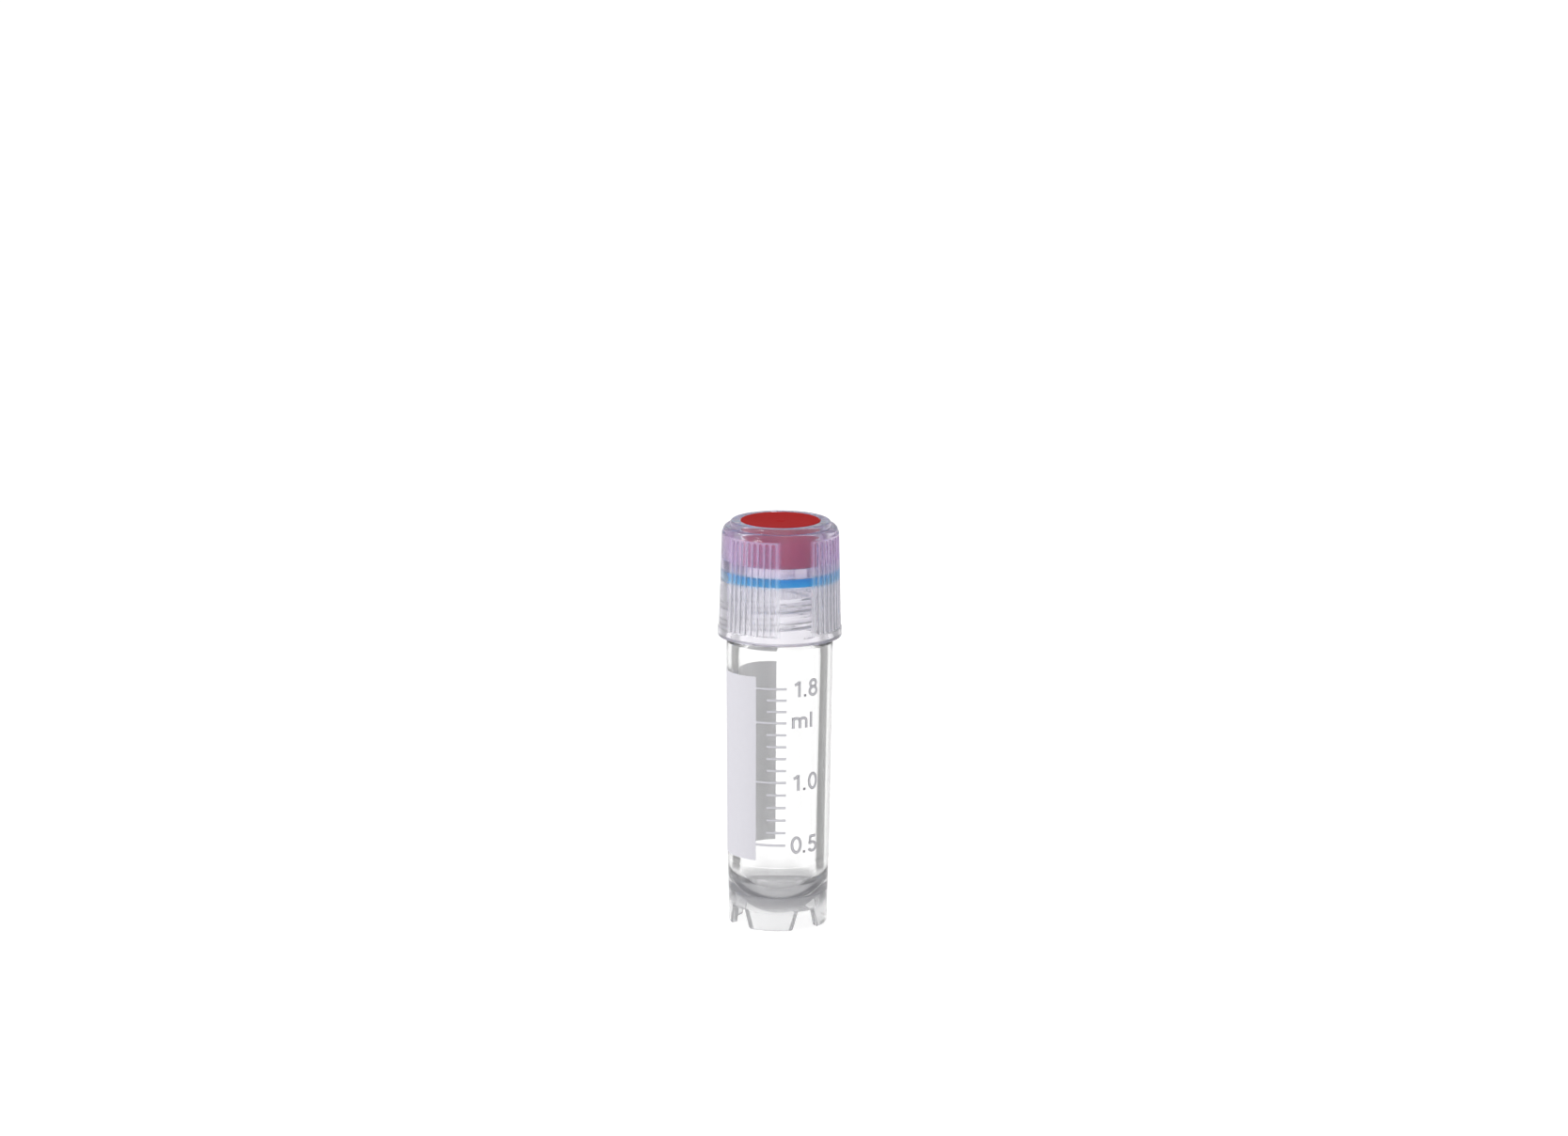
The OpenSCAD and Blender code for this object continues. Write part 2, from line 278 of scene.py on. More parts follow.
def clearPlastic(name, roughness, waviness, tint, milkAndPaintedLight, ribMilk=0.0, ribRoughness=0.0, ribPale=0.0,
                 ribColour=(1, 1, 1)):
    # moulded clear plastic with some milk in it: one shader refracts and a second one scatters,
    # mixed by the milk's share at each height; faint flow waves run through both
    material, nodes, links = newMaterial(name)
    calc = partial(mathNode, nodes, links)
    clear = nodes["Principled BSDF"]
    cloudy = nodes.new("ShaderNodeBsdfPrincipled")
    place = nodes.new("ShaderNodeTexCoord")
    split = nodes.new("ShaderNodeSeparateXYZ")
    links.new(place.outputs["Object"], split.inputs[0])
    flow = nodes.new("ShaderNodeTexNoise")
    flow.inputs["Scale"].default_value = plastic["flowScale"]
    flow.inputs["Detail"].default_value = 2.0
    stretch = nodes.new("ShaderNodeMapping")
    stretch.inputs["Scale"].default_value = (1.0, 1.0, plastic["flowStretch"])
    bump = nodes.new("ShaderNodeBump")
    bump.inputs["Strength"].default_value = waviness
    bump.inputs["Distance"].default_value = plastic["flowDepth"]
    links.new(place.outputs["Object"], stretch.inputs["Vector"])
    links.new(stretch.outputs["Vector"], flow.inputs["Vector"])
    links.new(flow.outputs["Fac"], bump.inputs["Height"])
    clear.inputs["Roughness"].default_value = roughness
    clear.inputs["Transmission Weight"].default_value = 1.0
    cloudy.inputs["Roughness"].default_value = plastic["milkRoughness"]
    for shader in (clear, cloudy):
        shader.inputs["IOR"].default_value = plastic["ior"]
        links.new(bump.outputs["Normal"], shader.inputs["Normal"])
    tintColour, _ = rampByHeight(nodes, links, split.outputs["Z"], tint)
    # the milk's colour by height holds painted shade low in the tube and painted light of the
    # washer and insert in the cap
    milkAndPaintedLightColour, milkShare = rampByHeight(nodes, links, split.outputs["Z"], milkAndPaintedLight)
    both = nodes.new("ShaderNodeMixShader")
    if ribMilk:
        # the moulded ribs are cloudier, paler and less polished than the rest
        rib = attributeValue(nodes, "rib")
        paler = calc("MULTIPLY", rib, ribPale)
        milkAndPaintedLightColour = colourMix(nodes, links, paler, milkAndPaintedLightColour, ribColour)
        milkShare = calc("ADD", calc("MULTIPLY", rib, ribMilk), milkShare)
        duller = calc("ADD", calc("MULTIPLY", rib, ribRoughness), roughness)
        links.new(duller, clear.inputs["Roughness"])
    links.new(tintColour, clear.inputs["Base Color"])
    links.new(milkAndPaintedLightColour, cloudy.inputs["Base Color"])
    links.new(milkShare, both.inputs["Fac"])
    links.new(clear.outputs["BSDF"], both.inputs[1])
    links.new(cloudy.outputs["BSDF"], both.inputs[2])
    links.new(both.outputs["Shader"], nodes["Material Output"].inputs["Surface"])
    return material


def solidPlastic(name, colour, darker, roughness, shine, grainScale, waviness):
    # opaque moulded plastic, rubber or ink: two close shades drifting into each other, with a
    # fine satin grain
    material, nodes, links = newMaterial(name)
    shader = nodes["Principled BSDF"]
    shader.inputs["Roughness"].default_value = roughness
    shader.inputs["IOR"].default_value = plastic["ior"]
    shader.inputs["Specular IOR Level"].default_value = shine
    place = nodes.new("ShaderNodeTexCoord")
    drift = nodes.new("ShaderNodeTexNoise")
    grain = nodes.new("ShaderNodeTexNoise")
    for noise, scale in ((drift, grainScale * plastic["driftShare"]), (grain, grainScale)):
        noise.inputs["Scale"].default_value = scale
        noise.inputs["Detail"].default_value = 3.0
        links.new(place.outputs["Object"], noise.inputs["Vector"])
    bump = nodes.new("ShaderNodeBump")
    bump.inputs["Strength"].default_value = waviness
    bump.inputs["Distance"].default_value = plastic["grainDepth"]
    shades = colourMix(nodes, links, drift.outputs["Fac"], colour, darker)
    links.new(shades, shader.inputs["Base Color"])
    links.new(grain.outputs["Fac"], bump.inputs["Height"])
    links.new(bump.outputs["Normal"], shader.inputs["Normal"])
    return material


def printInk(name, paintedEdgeShade, paintedInnerLight, **film):
    # screen-printed ink: a matt film, greyed by painted shade at a stroke's rim (1), and whitened
    # by painted light on its inner side (-1)
    material = solidPlastic(name, **film)
    nodes, links = material.node_tree.nodes, material.node_tree.links
    base = nodes["Principled BSDF"].inputs["Base Color"]
    # the rim mark: painted shade at a stroke's edges above 0, painted light on the ink's inner side
    # at -1
    rim = attributeValue(nodes, "rim")
    inside = mathNode(nodes, links, "MULTIPLY", rim, -1.0)
    for share, shade in ((rim, paintedEdgeShade), (inside, paintedInnerLight)):
        links.new(colourMix(nodes, links, share, base.links[0].from_socket, shade), base)
    return material


# tint and milk by height over the table in mm: red, green, blue and, for the milk, its share
finish = {
    "tube": {
        "roughness": 0.0, "waviness": 0.02,
        "tint": [(0.0, 0.968, 0.967, 0.966, 1.0), (41.5, 0.968, 0.967, 0.966, 1.0)],
        # cloudiest in the thick floor; the dark grey milk from 2 to 6.2 mm, darkest from 3 to 5.2
        # mm, is painted shade
        "milkAndPaintedLight": [(0.0, 0.96, 0.96, 0.98, 0.27), (2.0, 0.96, 0.96, 0.98, 0.27),
                 (3.0, 0.34, 0.34, 0.37, 0.32), (5.2, 0.34, 0.34, 0.37, 0.32),
                 (6.2, 0.78, 0.78, 0.80, 0.07), (8.0, 0.82, 0.82, 0.82, 0.04),
                 (41.5, 0.82, 0.82, 0.82, 0.04)],
    },
    "cap": {
        "roughness": 0.06, "waviness": 0.03, "ribMilk": 0.38, "ribRoughness": 0.26,
        "ribPale": 0.32, "ribColour": (0.93, 0.91, 0.98),
        "tint": [(34.6, 0.93, 0.91, 0.96, 1.0), (41.8, 0.91, 0.89, 0.96, 1.0),
                 (42.4, 0.76, 0.70, 0.88, 1.0), (43.2, 0.76, 0.70, 0.88, 1.0),
                 (43.8, 0.93, 0.87, 0.96, 1.0), (48.4, 0.92, 0.90, 0.97, 1.0)],
        # blue by the washer and pink round the insert: painted light, the washer's and the insert's
        # colours glowing in the milk
        "milkAndPaintedLight": [(34.6, 0.93, 0.92, 0.98, 0.14), (41.3, 0.88, 0.88, 0.97, 0.14),
                 (41.8, 0.06, 0.54, 0.94, 0.12), (42.6, 0.08, 0.54, 0.94, 0.12),
                 (42.95, 0.68, 0.64, 0.90, 0.20), (43.5, 0.72, 0.60, 0.90, 0.16),
                 (44.2, 0.64, 0.36, 0.80, 0.12), (46.6, 0.64, 0.38, 0.82, 0.12),
                 (48.4, 0.74, 0.66, 0.92, 0.12)],
    },
    "insert": {
        "colour": (0.41, 0.011, 0.012), "darker": (0.38, 0.010, 0.011),
        "roughness": 0.6, "shine": 0.03, "grainScale": 9000.0, "waviness": 0.15,
    },
    "washer": {
        "colour": (0.004, 0.42, 0.86), "darker": (0.004, 0.38, 0.80),
        "roughness": 0.5, "shine": 0.05, "grainScale": 7000.0, "waviness": 0.1,
    },
    "ink": {
        "colour": (0.70, 0.69, 0.74), "darker": (0.67, 0.66, 0.71),
        # the grey is painted shade at the strokes' edges, the near-white painted light on the ink's
        # inner side
        "paintedEdgeShade": (0.22, 0.22, 0.23), "paintedInnerLight": (0.95, 0.95, 0.98),
        "roughness": 0.6, "shine": 0.2, "grainScale": 14000.0, "waviness": 0.25,
    },
}
tubePlastic = clearPlastic("tubePlastic", **finish["tube"])
capPlastic = clearPlastic("capPlastic", **finish["cap"])
insertRed = solidPlastic("insertRed", **finish["insert"])
washerBlue = solidPlastic("washerBlue", **finish["washer"])
inkWhite = printInk("inkWhite", **finish["ink"])
print("materials ready")


# the thread that the tube and the cap share, in mm
thread = {
    "pitch": 2.07,
    "depth": 0.46,
    "crest": 0.34,       # width at the top of the ridge
    "root": 0.86,        # width at its foot
    "soften": 0.35,      # share of the flank's profile that is rounded
    "crestPlay": 0.20,   # radial room between a crest and the other wall
    "flankPlay": 0.14,
    "runOut": 40.0,      # degrees over which an end fades away
    "start": 20.0,       # degrees from the front where the neck's ridge begins
    "neckRise": 1.15,    # over the shoulder
    "neckStop": 1.03,    # under the mouth
    "capRise": 1.55,     # over the cap's lower edge
    "capStop": 1.37,     # under the mouth's height
}


def ridgeHeight(z, azimuth, fromZ, toZ, startDeg):
    # a trapezoid carried up a helix: full height within half the crest's width of the helix,
    # none beyond half the root's width, and fading out along the last degrees at both ends
    turns = (toZ - fromZ) / thread["pitch"]
    share = ((azimuth - startDeg) % 360.0) / 360.0
    slope, soft = (thread["root"] - thread["crest"]) / 2, thread["soften"]
    height = np.zeros(np.broadcast(z, azimuth).shape)
    for whole in range(int(turns) + 1):
        along = share + whole
        centre = fromZ + thread["pitch"] * along
        flank = np.clip((thread["root"] / 2 - np.abs(z - centre)) / slope, 0, 1)
        ends = np.minimum(along, turns - along) * 360.0 / thread["runOut"]
        rounded = smoothStep(flank) * soft + flank * (1.0 - soft)
        height = np.maximum(height, rounded * smoothStep(ends))
    return height * thread["depth"]


# the tube: bore, neck, barrel and the skirt with its four feet, in mm
tube = {
    "neckLength": 7.15,
    "neckRadius": 5.65,
    "neckFillet": 0.12,
    "shoulderChamfer": 0.35,
    "barrelLowRadius": 5.99,
    "mouthRadius": 5.04,
    "mouthRound": 0.18,
    "boreLowRadius": 4.42,
    "floorZ": 2.8,
    "bowlRadius": 4.6,
    "filletRadius": 3.5,
    "skirtHeight": 7.7,
    "skirtTopRadius": 5.94,
    "lineStep": 0.05,        # height of the step at the line where the skirt begins
    "footRadius": 5.79,
    "footRound": 0.25,
    "lipRound": 0.06,        # round of the lower edge's inner side
    "skirtWall": 0.85,
    "domeZ": 1.1,
    "domeRadius": 5.7579,
    "domeFillet": 0.10,
    "domeFilletDrop": 0.12,
    "feet": 4,
    "footTurn": -9.0,
    "gapHeight": 2.2,
    "gapTopWidth": 2.3,
    "gapLowWidth": 3.5,
}
neckBase = mouth - tube["neckLength"]


def gapColumns():
    # distances across one gap, from its middle line to where the foot's corner round ends, with
    # more of them at the edges
    half, low = tube["gapTopWidth"] / 2, tube["gapLowWidth"] / 2
    steps = [0.0, 0.35, 0.7, 0.95, half - 0.08, half - 0.02, half + 0.02, half + 0.08]
    steps += list(np.linspace(half + 0.16, low - 0.04, 4))
    steps += [low + k * tube["footRound"] for k in (0.0, 0.2, 0.45, 0.7, 1.0)]
    steps = np.array(steps)
    return np.concatenate([-steps[:0:-1], steps])


def gapEdge(across):
    # height of the skirt's lower edge at a distance from the gap's middle line: flat top, leaning
    # side, rounded corner
    half, low, rnd = tube["gapTopWidth"] / 2, tube["gapLowWidth"] / 2, tube["footRound"]
    high = tube["gapHeight"]
    lean = math.degrees(math.atan2(low - half, high))
    corner = arcLine(low + rnd, rnd, rnd, 180 + lean, 270, 8)
    xs = np.concatenate([[0.0, half - 0.05, half + 0.02], corner[:, 0], [low + 3]])
    zs = np.concatenate([[high, high, high - 0.08], corner[:, 1], [0.0]])
    return np.interp(np.abs(across), xs, zs)


def tubeColumns():
    # for each column: its angles outside and inside the skirt, and the height of its lower edge
    across = gapColumns()
    outerR, innerR = tube["footRadius"], tube["footRadius"] - tube["skirtWall"]
    outer = np.degrees(np.arcsin(across / outerR))
    inner = np.degrees(np.arcsin(across / innerR))
    edge = gapEdge(across)
    quarter = 360.0 / tube["feet"]
    t = np.linspace(0, 1, 18)[1:-1]
    outer = np.concatenate([outer, outer[-1] + (quarter + outer[0] - outer[-1]) * t])
    inner = np.concatenate([inner, inner[-1] + (quarter + inner[0] - inner[-1]) * t])
    edge = np.concatenate([edge, np.zeros(len(t))])
    turns = tube["footTurn"] + quarter / 2 + quarter * np.arange(tube["feet"])
    return (
        (turns[:, None] + outer).ravel(),
        (turns[:, None] + inner).ravel(),
        np.tile(edge, tube["feet"]),
    )


def skirtRows(edge, cavityTop):
    # the skirt as a grid of radii and one of heights: its outside runs from the line down to the
    # lower edge, which rises in the gaps, and its inside up to the dome; also how many rows are
    # on the outside
    t = tube
    ones = np.ones(len(edge))
    top, foot, lip = t["skirtHeight"] - t["lineStep"], t["footRound"], t["lipRound"]
    innerR, fillet = t["footRadius"] - t["skirtWall"], t["domeFillet"]
    wallTop = cavityTop - t["domeFilletDrop"]
    wider = t["footRadius"] - t["skirtTopRadius"]
    rows = []
    for s in np.linspace(0, 1, 12):
        z = top + (edge + foot - top) * s
        rows.append((t["skirtTopRadius"] + wider * (top - z) / top, z))
    for b in np.radians(np.linspace(0, 90, 7))[1:]:
        rows.append((t["footRadius"] - foot + foot * math.cos(b), edge + foot * (1 - math.sin(b))))
    outside = len(rows)
    for b in np.radians([0, 35, 65, 90]):
        rows.append((innerR + lip * (1 - math.sin(b)), edge + lip * (1 - math.cos(b))))
    for s in np.linspace(0, 1, 6)[1:]:
        rows.append((innerR, edge + lip + (wallTop - edge - lip) * s))
    for b in np.radians([30, 60, 90]):
        rows.append((innerR - fillet * (1 - math.cos(b)), wallTop + fillet * math.sin(b)))
    r, z = (np.array([value * ones for value in column]) for column in zip(*rows))
    return r, z, outside


def tubeSkin():
    # an outline turned round the axis: up the bore, over the mouth, down the neck and barrel,
    # round the skirt's edge and in along the dome; the ridge is added to the neck's radius
    outerAz, innerAz, edge = tubeColumns()
    t = tube
    bowlZ = t["floorZ"] + t["bowlRadius"]
    filletR = t["boreLowRadius"] - t["filletRadius"]
    filletZ = bowlZ - math.sqrt((t["bowlRadius"] - t["filletRadius"]) ** 2 - filletR ** 2)
    touch = math.degrees(math.atan2(filletZ - bowlZ, filletR))
    rnd = t["mouthRound"]
    innerR = t["footRadius"] - t["skirtWall"]
    domeMid = t["domeZ"] + t["domeRadius"]
    cavityTop = domeMid - math.sqrt(t["domeRadius"] ** 2 - innerR ** 2)

    inside = np.concatenate([
        arcLine(0, bowlZ, t["bowlRadius"], -90, touch, 16),
        arcLine(filletR, filletZ, t["filletRadius"], touch, 0, 12)[1:],
        straight((t["boreLowRadius"], filletZ), (t["mouthRadius"], mouth - rnd), 14)[1:],
        arcLine(t["mouthRadius"] + rnd, mouth - rnd, rnd, 180, 90, 6)[1:],
        arcLine(t["neckRadius"] - rnd, mouth - rnd, rnd, 90, 0, 6),
    ])
    threadZ = np.concatenate([
        np.linspace(mouth - rnd, mouth - 0.55, 4)[1:],
        np.linspace(mouth - 0.58, neckBase + 0.65, 104),
        [neckBase + 0.45, neckBase + 0.28],
    ])
    neck = np.stack([np.full(len(threadZ), t["neckRadius"]), threadZ], 1)
    fillet, lineZ = t["neckFillet"], t["skirtHeight"]
    chamferR = barrelTopRadius - t["shoulderChamfer"]
    chamferZ = neckBase - t["shoulderChamfer"]
    outside = np.concatenate([
        arcLine(t["neckRadius"] + fillet, neckBase + fillet, fillet, 180, 270, 5),
        straight((t["neckRadius"] + 0.2, neckBase), (chamferR - 0.06, neckBase), 2),
        [(chamferR, neckBase - 0.015), (chamferR + 0.04, neckBase - 0.05)],
        [(barrelTopRadius - 0.04, chamferZ + 0.05), (barrelTopRadius - 0.01, chamferZ - 0.01)],
        straight((barrelTopRadius, chamferZ - 0.07), (t["barrelLowRadius"], lineZ + 0.09), 26),
        [(t["barrelLowRadius"] - 0.01, lineZ + 0.05), (t["skirtTopRadius"] + 0.01, lineZ + 0.01)],
    ])
    skirtR, skirtZ, skirtOutside = skirtRows(edge, cavityTop)
    low = math.degrees(math.atan2(cavityTop - domeMid, innerR))
    dome = arcLine(0, domeMid, t["domeRadius"], low - 1.2, -90, 20)

    r, z = stackRows([inside, neck, outside, (skirtR, skirtZ), dome], len(edge))
    outerRows = len(inside) + len(neck) + len(outside) + skirtOutside
    azimuth = np.where(np.arange(len(r))[:, None] < outerRows, outerAz, innerAz)
    onNeck = slice(len(inside), len(inside) + len(neck))
    r[onNeck] += ridgeHeight(z[onNeck], azimuth[onNeck], neckBase + thread["neckRise"],
                             mouth - thread["neckStop"], thread["start"])
    return turnedSkin(r, z, azimuth)


addPiece("vialTube", tubeSkin(), "vial", tubePlastic, "tube")


# the cap: bore, web, ribbed grip, shoulder and the recess in its top, in mm
cap = {
    "bandHeight": 1.2,
    "bandRadius": 7.29,
    "bandRound": 0.15,
    "gripLowRadius": 7.19,
    "gripTopRadius": 6.89,
    "boreRadius": 6.31,
    "seatRadius": 6.17,
    "leadIn": 0.25,
    "shoulderRadius": 6.75,
    "shoulderHeight": 0.75,
    "shoulderRound": 0.5,
    "rimRadius": 5.94,
    "rimHeight": 0.6,
    "rimRound": 0.32,
    "rimFillet": 0.09,
    "recessRadius": 4.74,
    "recessEdge": 0.05,
    "recessFillet": 0.08,
    "groups": 4,
    "ribsPerGroup": 9,
    "ribStep": 6.5,          # degrees
    "ribWidth": 0.26,
    "fluteDepth": 0.22,
    "fluteStop": 0.25,
    "groupTurn": -29.4,
}


def capColumns():
    # each column's angle and its distance from the nearest flute's middle line (large where there
    # is none), going round group by group; also half of a flute's width
    c = cap
    edge = (c["gripTopRadius"] * math.radians(c["ribStep"]) - c["ribWidth"]) / 2
    half = np.array([0.10, 0.19, edge - 0.012, edge + 0.03])
    across = np.concatenate([-half[::-1], [0.0], half])
    fluteCount = c["ribsPerGroup"] - 1
    angles, distances = [], []
    for group in range(c["groups"]):
        middle = c["groupTurn"] + 360.0 / c["groups"] * group
        for flute in range(fluteCount):
            centre = middle + c["ribStep"] * (flute - (fluteCount - 1) / 2)
            angles += [centre + np.degrees(across / c["gripTopRadius"])]
            angles += [[centre + c["ribStep"] / 2]]
            distances += [across, [c["ribStep"]]]
        last = middle + c["ribStep"] * fluteCount / 2
        first = middle + 360.0 / c["groups"] - c["ribStep"] * (fluteCount / 2)
        window = np.linspace(last, first, 16)[1:]
        angles.append(window)
        distances.append(np.full(len(window), c["ribStep"]))
    return np.concatenate(angles), np.abs(np.concatenate(distances)), edge


def gripRows(across, edge, gripBase, gripTop):
    # the ribbed grip as a grid of radii and one of heights, and how deep each point lies in a
    # flute, from 0 to 1: rows run up each flute, whose top is a half circle as wide as the flute
    ones = np.ones(len(across))
    archMiddle = gripTop - cap["fluteStop"] - edge
    inFlute = np.clip((edge + 0.01 - across) / 0.025, 0, 1)
    arch = archMiddle + np.sqrt(np.clip(edge ** 2 - across ** 2, 0, None))
    fluteLow = gripBase - 0.05
    rows = [(fluteLow - 0.012, 0.0), (fluteLow + 0.008, 0.0), (fluteLow + 0.03, 1.0)]
    rows += [(z, 1.0) for z in np.linspace(gripBase + 0.1, archMiddle - 0.05, 22)]
    rows += [(arch - 0.05, 1.0), (arch - 0.018, 0.96), (arch, 0.55), (arch + 0.018, 0.04),
             (arch + 0.05, 0.0), (gripTop - 0.12, 0.0)]
    z = np.array([up * ones for up, _ in rows])
    share = np.array([[deep] for _, deep in rows])
    plain = np.interp(z, [gripBase - 0.10, gripBase, gripTop],
                      [cap["bandRadius"], cap["gripLowRadius"], cap["gripTopRadius"]])
    return plain - cap["fluteDepth"] * share * inFlute, z, share * inFlute


def capSkin():
    # the cap's skin, and its mark for the material: 1 on a rib, half in a flute and 0 elsewhere
    c = cap
    azimuth, across, edge = capColumns()
    gripBase = capBase + c["bandHeight"]
    rimBase = capTop - c["rimHeight"]
    gripTop = rimBase - c["shoulderHeight"]
    lead, seatR, boreR = c["leadIn"], c["seatRadius"], c["boreRadius"]
    under = np.concatenate([
        [(r, webLow) for r in (0, 1.5, 3.0, 4.4, 5.4, seatR - 0.06)],
        [(seatR - 0.015, webLow - 0.015), (seatR, webLow - 0.06)],
        [(seatR, mouth + 0.5), (seatR, mouth + 0.03), (seatR + 0.01, mouth - 0.02)],
    ])
    threadZ = np.concatenate([
        [mouth - lead + 0.02, mouth - lead - 0.05],
        np.linspace(mouth - 0.55, capBase + 0.95, 88),
        [capBase + 0.7, capBase + 0.45],
    ])[:, None] * np.ones(len(azimuth))
    ridge = ridgeHeight(threadZ, azimuth[None, :] * np.ones_like(threadZ),
                        capBase + thread["capRise"], mouth - thread["capStop"], capThreadStart)
    low = np.array([
        (boreR, capBase + lead + 0.03), (boreR + 0.02, capBase + lead - 0.03),
        (boreR + lead - 0.03, capBase + 0.035), (boreR + lead + 0.03, capBase),
    ])
    bandR, bandRound = c["bandRadius"], c["bandRound"]
    band = np.concatenate([
        arcLine(bandR - bandRound, capBase + bandRound, bandRound, -90, 0, 7),
        straight((bandR, capBase + 0.3), (bandR, gripBase - 0.14), 4),
        [(bandR - 0.01, gripBase - 0.10), (bandR - 0.035, gripBase - 0.065)],
    ])
    gripR, gripZ, deep = gripRows(across, edge, gripBase, gripTop)
    shoulder, rim, rimFillet = c["shoulderRound"], c["rimRound"], c["rimFillet"]
    recessR, recessEdge, fillet = c["recessRadius"], c["recessEdge"], c["recessFillet"]
    top = np.concatenate([
        [(c["gripTopRadius"] - 0.005, gripTop + 0.02), (c["gripTopRadius"] - 0.05, gripTop + 0.07)],
        arcLine(c["shoulderRadius"] - shoulder, rimBase - shoulder, shoulder, 0, 84, 9),
        arcLine(c["rimRadius"] + 0.10, rimBase + 0.085, rimFillet, 262, 190, 6),
        arcLine(c["rimRadius"] - rim, capTop - rim, rim, 0, 90, 9),
        arcLine(recessR + recessEdge, capTop - recessEdge, recessEdge, 90, 180, 5),
        straight((recessR, capTop - 0.1), (recessR, webTop + 0.12), 6),
        arcLine(recessR - fillet, webTop + fillet, fillet, 0, -90, 5),
        [(r, webTop) for r in (4.0, 3.0, 1.5, 0)],
    ])
    grids = [under, (boreR - ridge, threadZ), low, band, (gripR, gripZ), top]
    r, z = stackRows(grids, len(azimuth))

    period = 360.0 / c["groups"]
    fromMiddle = np.abs((azimuth - c["groupTurn"] + period / 2) % period - period / 2)
    inGroup = np.clip((c["ribStep"] * c["ribsPerGroup"] / 2 - fromMiddle) / 1.5, 0, 1)
    rib = np.zeros_like(r)
    rib[-len(top) - len(deep):-len(top)] = inGroup * np.where(deep > 0.5, 0.5, 1.0)
    mark = np.concatenate([rib[0, :1], rib[1:-1].ravel(), rib[-1, :1]])
    return turnedSkin(r, z, azimuth), mark


# the cap's ridge lies under the neck's by half of each one's width where they face, and the play
facing = thread["root"] - (thread["root"] - thread["crest"]) * thread["crestPlay"] / thread["depth"]
ridgeDrop = (thread["crest"] + facing) / 2 + thread["flankPlay"]
capThreadStart = thread["start"] + 360.0 * (
    capBase + thread["capRise"] + ridgeDrop - neckBase - thread["neckRise"]) / thread["pitch"]
capShape, ribMark = capSkin()
addPiece("vialCap", capShape, "cap_top", capPlastic, "cap", ("rib", ribMark))


# the sealing washer, a ring with rounded edges, in mm
washer = {
    "innerRadius": 4.6,
    "edgeRound": 0.09,
    "faceGap": 0.006,        # air between its faces and what they meet
}
ringColumns = 144            # columns round the washer and the insert
ringAngles = np.linspace(0, 360, ringColumns + 1)[:-1]


def washerSkin():
    # four rounded corners turned round the axis
    outer = washerHigh.x / mm
    inner, rnd = washer["innerRadius"], washer["edgeRound"]
    low, high = washerLow.z / mm + washer["faceGap"], washerHigh.z / mm - washer["faceGap"]
    outline = np.concatenate([
        arcLine(outer - rnd, low + rnd, rnd, -90, 0, 5),
        arcLine(outer - rnd, high - rnd, rnd, 0, 90, 5),
        arcLine(inner + rnd, high - rnd, rnd, 90, 180, 5),
        arcLine(inner + rnd, low + rnd, rnd, 180, 270, 5),
    ])
    return turnedSkin(*stackRows([outline], ringColumns), ringAngles, closedEnds=False)


addPiece("sealingWasher", washerSkin(), "cap_lift", washerBlue, "gasket")


# the insert in the recess of the cap: a hollow cup with a dished top and a low gate mark, in mm
insert = {
    "topThickness": 0.9,
    "wall": 0.8,
    "edgeRound": 0.12,
    "innerRound": 0.1,
    "lipRound": 0.06,
    "dishDepth": 0.12,
    "dishEdge": 0.35,
    "gateRadius": 0.55,
    "gateHeight": 0.05,
    "gateSlope": 0.14,
    "seatGap": 0.01,
}


def insertSkin():
    # the dish is part of a ball, and the gate mark stands in its middle
    i = insert
    outer = insertHigh.x / mm
    low, high = insertLow.z / mm + i["seatGap"], insertHigh.z / mm
    hollow, ceiling = outer - i["wall"], high - i["topThickness"]
    inner, lip, rnd = i["innerRound"], i["lipRound"], i["edgeRound"]
    dishR = outer - i["dishEdge"]
    r = np.linspace(dishR, 0, 40)
    ball = (dishR ** 2 + i["dishDepth"] ** 2) / (2 * i["dishDepth"])
    dish = high - i["dishDepth"] + ball - np.sqrt(ball ** 2 - r ** 2)
    dish += i["gateHeight"] * smoothStep((i["gateRadius"] - r) / i["gateSlope"])
    outline = np.concatenate([
        [(0, ceiling), (1.5, ceiling), (3.0, ceiling)],
        arcLine(hollow - inner, ceiling - inner, inner, 90, 0, 4),
        [(hollow, low + 0.5), (hollow, low + 0.1)],
        arcLine(hollow + lip, low + lip, lip, 180, 270, 4),
        arcLine(outer - lip, low + lip, lip, 270, 360, 4),
        [(outer, low + 1.2), (outer, high - 1.0)],
        arcLine(outer - rnd, high - rnd, rnd, 0, 90, 6),
        np.stack([r, dish], 1),
    ])
    return turnedSkin(*stackRows([outline], ringColumns), ringAngles)


addPiece("colourInsert", insertSkin(), "cap_top", insertRed, "cap_insert")


# the print on the barrel: the writing patch, the scale lines and their figures, in mm and in
# degrees from the front
ink = {
    "thickness": 0.025,
    "lift": 0.004,           # the film of air between the plastic and the ink
    "patchLow": 8.55,
    "patchTop": 30.75,
    "patchTopBehind": 30.2,
    "patchFrom": -26.0,
    "patchTo": -176.0,
    "marks": 14,             # one for each 0.1 ml, from 0.5 to 1.8 ml
    "longMarks": {0: 10.5, 5: 18.1, 10: 25.3, 13: 29.4},  # the long ones and their heights
    "markFromLong": -26.0,
    "markFromShort": -13.5,
    "markTo": 8.0,
    "markWidth": 0.27,
    "strokeWidth": 0.31,
    "strokeLift": 0.002,     # strokes that cross lie this much over each other
    "paintedEdgeShare": 0.32,        # share of a stroke's width, from both edges, greyed by painted shade
    # text, height of its middle, first and last angle, height of its figures
    "words": [("1.8", 29.4, 15.4, 45.6, 2.05), ("ml", 25.55, 14.0, 38.5, 1.85),
              ("1.0", 18.1, 15.0, 47.0, 2.05), ("0.5", 10.5, 14.0, 48.0, 2.05)],
}
